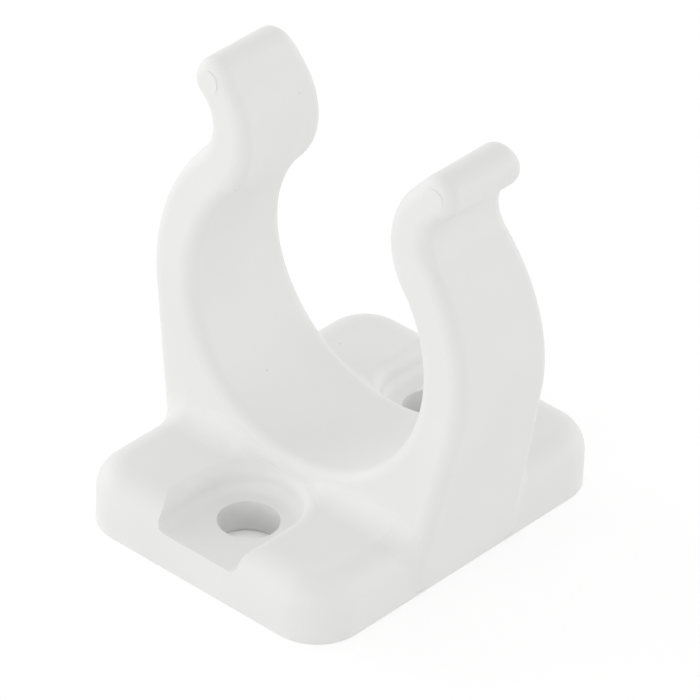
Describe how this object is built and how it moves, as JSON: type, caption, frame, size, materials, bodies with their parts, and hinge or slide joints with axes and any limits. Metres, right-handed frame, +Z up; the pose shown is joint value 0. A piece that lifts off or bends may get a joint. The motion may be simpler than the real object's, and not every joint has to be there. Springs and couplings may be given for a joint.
{
  "type": "tube holder",
  "caption": "One-piece white plastic snap-in tube holder: an open sprung ring with flared lips on a rounded base with pocketed screw holes.",
  "frame": {"origin": "middle of the base's underside, on the surface that it is screwed to", "axes": "+Z up out of the mouth of the clip, +Y along the tube, +X from arm to arm"},
  "size_m": [0.034, 0.0356, 0.0392],
  "materials": {
    "white_nylon": "satin, as moulded"
  },
  "bodies": {
    "root": {"tube_holder": "white_nylon"}
  },
  "joints": []
}
